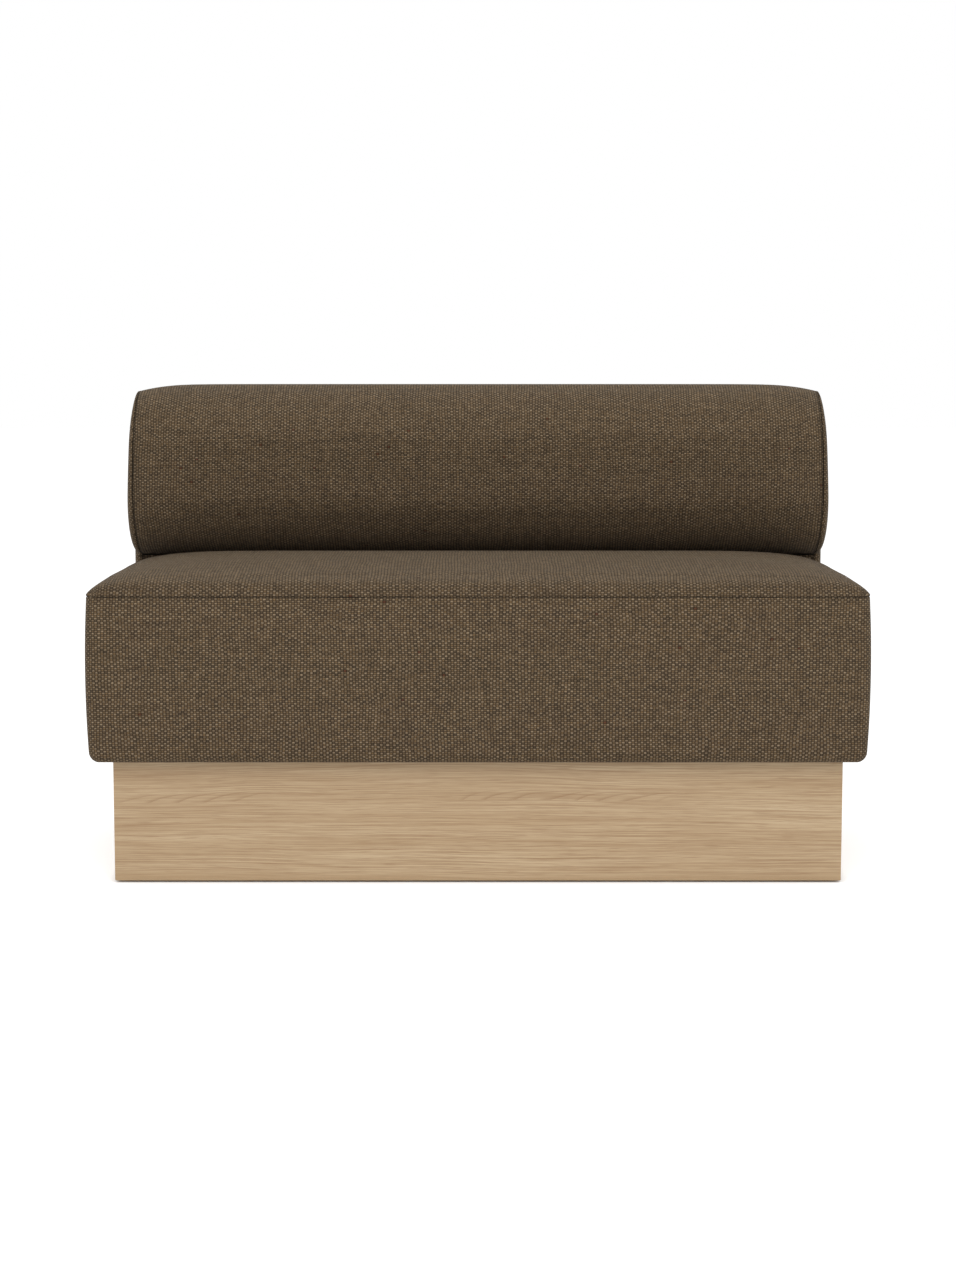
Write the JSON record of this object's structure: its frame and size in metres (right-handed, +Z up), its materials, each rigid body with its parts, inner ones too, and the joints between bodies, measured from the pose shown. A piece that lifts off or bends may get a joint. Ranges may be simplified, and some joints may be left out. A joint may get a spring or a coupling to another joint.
{
  "type": "dining sofa",
  "caption": "Armless upholstered dining sofa: boxed seat with a crowned top and a rolled back, on a recessed oak plinth with levelling glides.",
  "frame": {"origin": "on the floor under the middle of the sofa's box", "axes": "+X along the seat to the right seen from the front, -Y to the front, +Z up"},
  "size_m": [1.2, 0.59, 0.7642],
  "materials": {
    "upholstery_fabric": "chunky brown hopsack weave with beige and golden nubs",
    "oak_veneer": "matt lacquered oak veneer",
    "frame_timber": "bare pine and birch plywood",
    "hardboard": "smooth hardboard",
    "foam": "open-cell upholstery foam",
    "webbing": "woven elastic",
    "felt": "needled felt",
    "dust_cloth": "black non-woven cloth",
    "zinc_steel": "zinc plated",
    "glide_plastic": "moulded nylon"
  },
  "bodies": {
    "sofa": {"back_base_panel": "frame_timber", "back_brackets": "zinc_steel", "back_cover_end_left": "upholstery_fabric", "back_cover_end_right": "upholstery_fabric", "back_cover_neck": "upholstery_fabric", "back_cover_rear": "upholstery_fabric", "back_cover_roll": "upholstery_fabric", "back_end_pad_left": "foam", "back_end_pad_right": "foam", "back_former_centre": "frame_timber", "back_former_left": "frame_timber", "back_former_right": "frame_timber", "back_front_rails": "frame_timber", "back_lower_rails": "frame_timber", "back_neck_board": "hardboard", "back_neck_foam": "foam", "back_rear_board": "hardboard", "back_rear_padding": "foam", "back_roll_board": "hardboard", "back_roll_foam": "foam", "back_top_rails": "frame_timber", "bolt_inserts": "zinc_steel", "bracket_screws": "zinc_steel", "glide_tee_nuts": "zinc_steel", "plinth_back_batten": "frame_timber", "plinth_back_board": "oak_veneer", "plinth_bolts": "zinc_steel", "plinth_brace": "frame_timber", "plinth_corner_blocks": "frame_timber", "plinth_front_batten": "frame_timber", "plinth_front_board": "oak_veneer", "plinth_left_board": "oak_veneer", "plinth_middle_batten": "frame_timber", "plinth_right_board": "oak_veneer", "seat_back_rail": "frame_timber", "seat_base_foam": "foam", "seat_base_panel": "frame_timber", "seat_centre_rail": "frame_timber", "seat_corner_blocks": "frame_timber", "seat_cover_border": "upholstery_fabric", "seat_cover_top": "upholstery_fabric", "seat_dust_cloth": "dust_cloth", "seat_felt": "felt", "seat_front_padding": "foam", "seat_front_rail": "frame_timber", "seat_left_padding": "foam", "seat_left_rail": "frame_timber", "seat_rear_padding": "foam", "seat_right_padding": "foam", "seat_right_rail": "frame_timber", "seat_top_foam": "foam", "seat_webbing": "webbing"},
    "glide_front_left": {"glide_stem_front_left": "zinc_steel", "glide_foot_front_left": "glide_plastic"},
    "glide_front_right": {"glide_stem_front_right": "zinc_steel", "glide_foot_front_right": "glide_plastic"},
    "glide_back_left": {"glide_stem_back_left": "zinc_steel", "glide_foot_back_left": "glide_plastic"},
    "glide_back_right": {"glide_stem_back_right": "zinc_steel", "glide_foot_back_right": "glide_plastic"}
  },
  "joints": [
    {"name": "glide_front_left_screw", "type": "slide", "parent": "sofa", "child": "glide_front_left", "axis": [0, 0, -1], "range_m": [0, 0.012]},
    {"name": "glide_front_right_screw", "type": "slide", "parent": "sofa", "child": "glide_front_right", "axis": [0, 0, -1], "range_m": [0, 0.012]},
    {"name": "glide_back_left_screw", "type": "slide", "parent": "sofa", "child": "glide_back_left", "axis": [0, 0, -1], "range_m": [0, 0.012]},
    {"name": "glide_back_right_screw", "type": "slide", "parent": "sofa", "child": "glide_back_right", "axis": [0, 0, -1], "range_m": [0, 0.012]}
  ]
}
